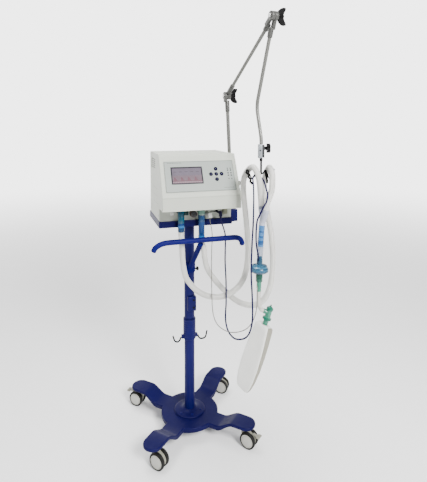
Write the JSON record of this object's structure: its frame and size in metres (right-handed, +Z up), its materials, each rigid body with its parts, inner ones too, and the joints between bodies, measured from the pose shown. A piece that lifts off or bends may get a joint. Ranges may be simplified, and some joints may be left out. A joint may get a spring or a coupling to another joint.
{
  "type": "mechanical ventilator",
  "caption": "Ventilator with a sloping control front on a castored column stand, with a jointed circuit arm, breathing hoses, flow sensor and test lung.",
  "frame": {"origin": "on the floor, under the centre of the machine's bounding box, measured without the breathing circuit", "axes": "+Z up, the control panel and handle face -Y, the circuit arm stands on the +X side"},
  "size_m": [0.5692, 0.7632, 1.91],
  "materials": {
    "blue_casting": "satin blue paint on cast aluminium",
    "blue_paint": "satin blue powder coat",
    "handle_blue": "satin bright blue powder coat",
    "black_plastic": "moulded black",
    "black_metal": "black coated wire",
    "castor_grey": "moulded grey beige",
    "tyre": "black rubber",
    "casing_grey": "fine textured light grey",
    "panel_grey": "smooth printed panel",
    "display": "clear gloss over a purple grey display",
    "key_navy": "navy silicone",
    "teal": "translucent teal",
    "clear_green": "translucent green",
    "cable_purple": "dark purple jacket",
    "white_plastic": "white moulding",
    "valve_brown": "dark brown moulding",
    "board_green": "green laminate",
    "dark_plastic": "dark grey moulding",
    "steel": "bare metal",
    "supply_metal": "bare metal",
    "arm_metal": "satin grey metal",
    "clamp_grey": "light grey metal",
    "hose_clear": "translucent white corrugated hose",
    "cuff_blue": "blue cuff",
    "wye_blue": "translucent light blue",
    "sensor_blue": "translucent steel blue",
    "lung_white": "matte white rubber",
    "sample_grey": "thin clear tube"
  },
  "bodies": {
    "root": {"accessory_clamp": "blue_paint", "arm_bracket": "blue_paint", "base_star": "blue_casting", "blower_housing": "dark_plastic", "circuit_board": "board_green", "column": "blue_paint", "column_flange": "blue_paint", "control_panel": "panel_grey", "cuff_left": "cuff_blue", "cuff_right": "cuff_blue", "display_window": "display", "exhalation_valve": "valve_brown", "expiratory_port": "clear_green", "front_cover": "casing_grey", "handle_bar": "handle_blue", "handle_brace": "blue_paint", "hook_collar": "blue_paint", "hook_left": "black_metal", "hook_right": "black_metal", "hose_left": "hose_clear", "hose_right": "hose_clear", "inspiratory_port": "teal", "power_inlet": "black_plastic", "power_supply": "supply_metal", "rear_casing": "casing_grey", "sample_line": "sample_grey", "sample_port": "white_plastic", "sensor_cable": "cable_purple", "sensor_plug": "cable_purple", "tray": "blue_casting"},
    "arm_post": {"arm_post": "arm_metal"},
    "arm_link": {"arm_link": "arm_metal"},
    "arm_drop": {"arm_drop": "arm_metal", "clamp_block": "clamp_grey"},
    "hanger": {"hose_hanger": "black_plastic", "y_piece": "wye_blue", "flow_sensor": "sensor_blue", "catheter_mount": "hose_clear", "swivel_elbow": "clear_green"},
    "test_lung": {"test_lung": "lung_white"},
    "knob_lower": {"arm_knob_lower": "black_plastic"},
    "knob_upper": {"arm_knob_upper": "black_plastic"},
    "clamp_knob": {"clamp_knob": "black_plastic"},
    "impeller": {"blower_impeller": "steel"},
    "relief_knob": {"relief_knob": "white_plastic"},
    "castor_fl": {"caster_fork_fl": "castor_grey"},
    "wheels_fl": {"caster_wheels_fl": "tyre"},
    "castor_fr": {"caster_fork_fr": "castor_grey"},
    "wheels_fr": {"caster_wheels_fr": "tyre"},
    "castor_bl": {"caster_fork_bl": "castor_grey"},
    "wheels_bl": {"caster_wheels_bl": "tyre"},
    "castor_br": {"caster_fork_br": "castor_grey"},
    "wheels_br": {"caster_wheels_br": "tyre"},
    "brake_bl": {"brake_pedal_bl": "castor_grey"},
    "brake_fr": {"brake_pedal_fr": "castor_grey"},
    "key_up": {"key_up": "key_navy"},
    "key_down": {"key_down": "key_navy"},
    "key_left": {"key_left": "key_navy"},
    "key_right": {"key_right": "key_navy"},
    "key_ok": {"key_ok": "key_navy"}
  },
  "joints": [
    {"name": "arm_swing", "type": "hinge", "parent": "root", "child": "arm_post", "pos_m": [0.2014, 0.0543, 0.9915], "axis": [-0.0473, 0, 0.9989], "range_deg": [-10, 60], "deforming": ["hose_left", "hose_right", "sensor_cable", "sample_line"]},
    {"name": "arm_raise", "type": "hinge", "parent": "arm_post", "child": "arm_link", "pos_m": [0.1729, 0.0543, 1.5935], "axis": [-0.9908, -0.135, 0], "range_deg": [-4, 25]},
    {"name": "drop_swing", "type": "hinge", "parent": "arm_link", "child": "arm_drop", "pos_m": [0.2272, -0.3442, 1.8755], "axis": [-0.9908, -0.135, 0], "range_deg": [-4, 30]},
    {"name": "hanger_swivel", "type": "hinge", "parent": "arm_drop", "child": "hanger", "pos_m": [0.2154, -0.2577, 1.3545], "axis": [0, 0, 1], "range_deg": [-30, 30]},
    {"name": "lung_swivel", "type": "hinge", "parent": "hanger", "child": "test_lung", "pos_m": [0.1964, -0.3477, 0.6675], "axis": [0.3324, -0.0517, 0.9417], "continuous": true},
    {"name": "knob_lower_turn", "type": "hinge", "parent": "arm_post", "child": "knob_lower", "pos_m": [0.1729, 0.0543, 1.5935], "axis": [0.9908, 0.135, 0], "continuous": true},
    {"name": "knob_upper_turn", "type": "hinge", "parent": "arm_link", "child": "knob_upper", "pos_m": [0.2272, -0.3442, 1.8755], "axis": [0.9908, 0.135, 0], "continuous": true},
    {"name": "clamp_knob_turn", "type": "hinge", "parent": "arm_drop", "child": "clamp_knob", "pos_m": [0.22812, -0.26157, 1.361], "axis": [0.9567, -0.2911, 0], "continuous": true},
    {"name": "impeller_spin", "type": "hinge", "parent": "root", "child": "impeller", "pos_m": [-0.0826, 0.1443, 1.0123], "axis": [0, 0, 1], "continuous": true},
    {"name": "relief_turn", "type": "hinge", "parent": "root", "child": "relief_knob", "pos_m": [-0.1256, -0.1057, 1.0975], "axis": [0, 0, 1], "range_deg": [-135, 135]},
    {"name": "castor_fl_swivel", "type": "hinge", "parent": "root", "child": "castor_fl", "pos_m": [-0.20766, -0.11076, 0], "axis": [0, 0, 1], "continuous": true},
    {"name": "wheels_fl_roll", "type": "hinge", "parent": "castor_fl", "child": "wheels_fl", "pos_m": [-0.19026, -0.13008, 0.037], "axis": [0.7431, 0.6691, 0], "continuous": true},
    {"name": "castor_fr_swivel", "type": "hinge", "parent": "root", "child": "castor_fr", "pos_m": [0.20246, -0.11076, 0], "axis": [0, 0, 1], "continuous": true},
    {"name": "wheels_fr_roll", "type": "hinge", "parent": "castor_fr", "child": "wheels_fr", "pos_m": [0.21917, -0.13068, 0.037], "axis": [0.766, 0.6428, 0], "continuous": true},
    {"name": "brake_fr_press", "type": "hinge", "parent": "castor_fr", "child": "brake_fr", "pos_m": [0.23364, -0.14791, 0.065], "axis": [0.766, 0.6428, 0], "range_deg": [0, 20]},
    {"name": "castor_bl_swivel", "type": "hinge", "parent": "root", "child": "castor_bl", "pos_m": [-0.20766, 0.29936, 0], "axis": [0, 0, 1], "continuous": true},
    {"name": "wheels_bl_roll", "type": "hinge", "parent": "castor_bl", "child": "wheels_bl", "pos_m": [-0.22758, 0.31607, 0.037], "axis": [-0.6428, -0.766, 0], "continuous": true},
    {"name": "brake_bl_press", "type": "hinge", "parent": "castor_bl", "child": "brake_bl", "pos_m": [-0.24481, 0.33054, 0.065], "axis": [-0.6428, -0.766, 0], "range_deg": [0, 20]},
    {"name": "castor_br_swivel", "type": "hinge", "parent": "root", "child": "castor_br", "pos_m": [0.20246, 0.29936, 0], "axis": [0, 0, 1], "continuous": true},
    {"name": "wheels_br_roll", "type": "hinge", "parent": "castor_br", "child": "wheels_br", "pos_m": [0.22376, 0.28445, 0.037], "axis": [0.5736, 0.8192, 0], "continuous": true},
    {"name": "key_up_press", "type": "slide", "parent": "root", "child": "key_up", "axis": [0, 0.8855, -0.4647], "range_m": [0, 0.0008], "stiffness_N_per_m": 400, "springref_m": -0.0005},
    {"name": "key_down_press", "type": "slide", "parent": "root", "child": "key_down", "axis": [0, 0.8855, -0.4647], "range_m": [0, 0.0008], "stiffness_N_per_m": 400, "springref_m": -0.0005},
    {"name": "key_left_press", "type": "slide", "parent": "root", "child": "key_left", "axis": [0, 0.8855, -0.4647], "range_m": [0, 0.0008], "stiffness_N_per_m": 400, "springref_m": -0.0005},
    {"name": "key_right_press", "type": "slide", "parent": "root", "child": "key_right", "axis": [0, 0.8855, -0.4647], "range_m": [0, 0.0008], "stiffness_N_per_m": 400, "springref_m": -0.0005},
    {"name": "key_ok_press", "type": "slide", "parent": "root", "child": "key_ok", "axis": [0, 0.8855, -0.4647], "range_m": [0, 0.0008], "stiffness_N_per_m": 400, "springref_m": -0.0005}
  ]
}
